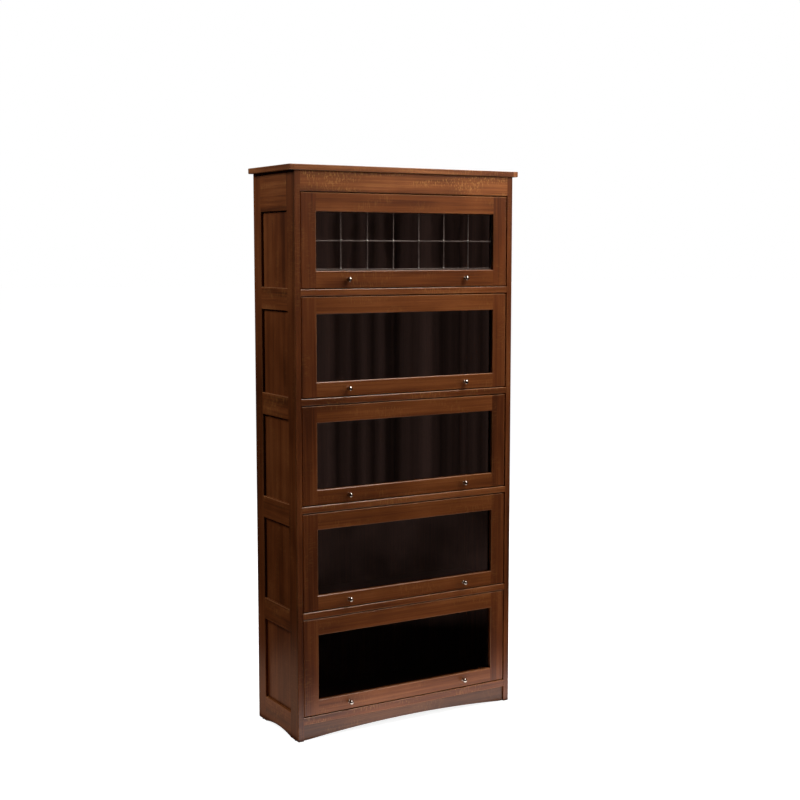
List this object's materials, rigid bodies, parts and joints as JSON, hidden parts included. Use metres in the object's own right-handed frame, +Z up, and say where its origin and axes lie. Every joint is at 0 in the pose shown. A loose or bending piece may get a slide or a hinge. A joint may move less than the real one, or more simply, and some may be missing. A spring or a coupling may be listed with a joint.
{
  "type": "barrister bookcase",
  "caption": "Tall bookcase of stacked compartments, each behind a glazed door that lifts and slides back under its shelf; leaded top door, panelled sides, arched base.",
  "frame": {"origin": "on the floor, at the centre of the outline seen from above, knobs included", "axes": "+Z up, -Y out of the front, +X to the right when facing the front"},
  "size_m": [0.9144, 0.3332, 1.958],
  "materials": {
    "oak_case": "stained quartersawn oak, satin",
    "oak_top": "stained quartersawn oak, satin",
    "oak_door": "stained quartersawn oak, satin",
    "plywood": "stained oak-faced plywood",
    "glass": "clear float glass",
    "came": "dull zinc came with soldered joints",
    "knob": "polished nickel",
    "steel": "zinc-plated steel",
    "glide": "dark nylon"
  },
  "bodies": {
    "case": {"top_board": "oak_top", "top_lippings": "oak_top", "top_fascia": "oak_top", "bottom_rail": "oak_case", "apron": "oak_case", "bottom_board": "oak_case", "back_panel": "plywood", "back_rails": "oak_case", "back_screws": "steel", "stop_blocks": "oak_case", "foot_glides": "glide", "left_front_stile": "oak_case", "left_back_stile": "oak_case", "left_side_rails": "oak_case", "left_side_foot_rail": "oak_case", "left_side_panels": "oak_case", "right_front_stile": "oak_case", "right_back_stile": "oak_case", "right_side_rails": "oak_case", "right_side_foot_rail": "oak_case", "right_side_panels": "oak_case", "shelf_1": "oak_case", "shelf_rail_1": "oak_case", "shelf_2": "oak_case", "shelf_rail_2": "oak_case", "shelf_3": "oak_case", "shelf_rail_3": "oak_case", "shelf_4": "oak_case", "shelf_rail_4": "oak_case"},
    "runners_1": {"door_1_runners": "steel"},
    "door_1": {"door_1_stiles": "oak_door", "door_1_rails": "oak_door", "door_1_glass": "glass", "door_1_glass_stops": "oak_door", "door_1_knobs": "knob", "door_1_came": "came"},
    "runners_2": {"door_2_runners": "steel"},
    "door_2": {"door_2_stiles": "oak_door", "door_2_rails": "oak_door", "door_2_glass": "glass", "door_2_glass_stops": "oak_door", "door_2_knobs": "knob"},
    "runners_3": {"door_3_runners": "steel"},
    "door_3": {"door_3_stiles": "oak_door", "door_3_rails": "oak_door", "door_3_glass": "glass", "door_3_glass_stops": "oak_door", "door_3_knobs": "knob"},
    "runners_4": {"door_4_runners": "steel"},
    "door_4": {"door_4_stiles": "oak_door", "door_4_rails": "oak_door", "door_4_glass": "glass", "door_4_glass_stops": "oak_door", "door_4_knobs": "knob"},
    "runners_5": {"door_5_runners": "steel"},
    "door_5": {"door_5_stiles": "oak_door", "door_5_rails": "oak_door", "door_5_glass": "glass", "door_5_glass_stops": "oak_door", "door_5_knobs": "knob"}
  },
  "joints": [
    {"name": "door_1_slide", "type": "slide", "parent": "case", "child": "runners_1", "axis": [0, 1, 0], "range_m": [0, 0.251]},
    {"name": "door_1_lift", "type": "hinge", "parent": "runners_1", "child": "door_1", "pos_m": [0, -0.1366, 1.852], "axis": [-1, 0, 0], "range_deg": [0, 90]},
    {"name": "door_2_slide", "type": "slide", "parent": "case", "child": "runners_2", "axis": [0, 1, 0], "range_m": [0, 0.271]},
    {"name": "door_2_lift", "type": "hinge", "parent": "runners_2", "child": "door_2", "pos_m": [0, -0.1366, 1.506], "axis": [-1, 0, 0], "range_deg": [0, 90]},
    {"name": "door_3_slide", "type": "slide", "parent": "case", "child": "runners_3", "axis": [0, 1, 0], "range_m": [0, 0.271]},
    {"name": "door_3_lift", "type": "hinge", "parent": "runners_3", "child": "door_3", "pos_m": [0, -0.1366, 1.14], "axis": [-1, 0, 0], "range_deg": [0, 90]},
    {"name": "door_4_slide", "type": "slide", "parent": "case", "child": "runners_4", "axis": [0, 1, 0], "range_m": [0, 0.271]},
    {"name": "door_4_lift", "type": "hinge", "parent": "runners_4", "child": "door_4", "pos_m": [0, -0.1366, 0.774], "axis": [-1, 0, 0], "range_deg": [0, 90]},
    {"name": "door_5_slide", "type": "slide", "parent": "case", "child": "runners_5", "axis": [0, 1, 0], "range_m": [0, 0.271]},
    {"name": "door_5_lift", "type": "hinge", "parent": "runners_5", "child": "door_5", "pos_m": [0, -0.1366, 0.408], "axis": [-1, 0, 0], "range_deg": [0, 90]}
  ],
  "couplings": [
    {"joint": "door_1_slide", "follows": "door_1_lift", "m_per_rad": 0.15915},
    {"joint": "door_2_slide", "follows": "door_2_lift", "m_per_rad": 0.17188},
    {"joint": "door_3_slide", "follows": "door_3_lift", "m_per_rad": 0.17188},
    {"joint": "door_4_slide", "follows": "door_4_lift", "m_per_rad": 0.17188},
    {"joint": "door_5_slide", "follows": "door_5_lift", "m_per_rad": 0.17188}
  ]
}
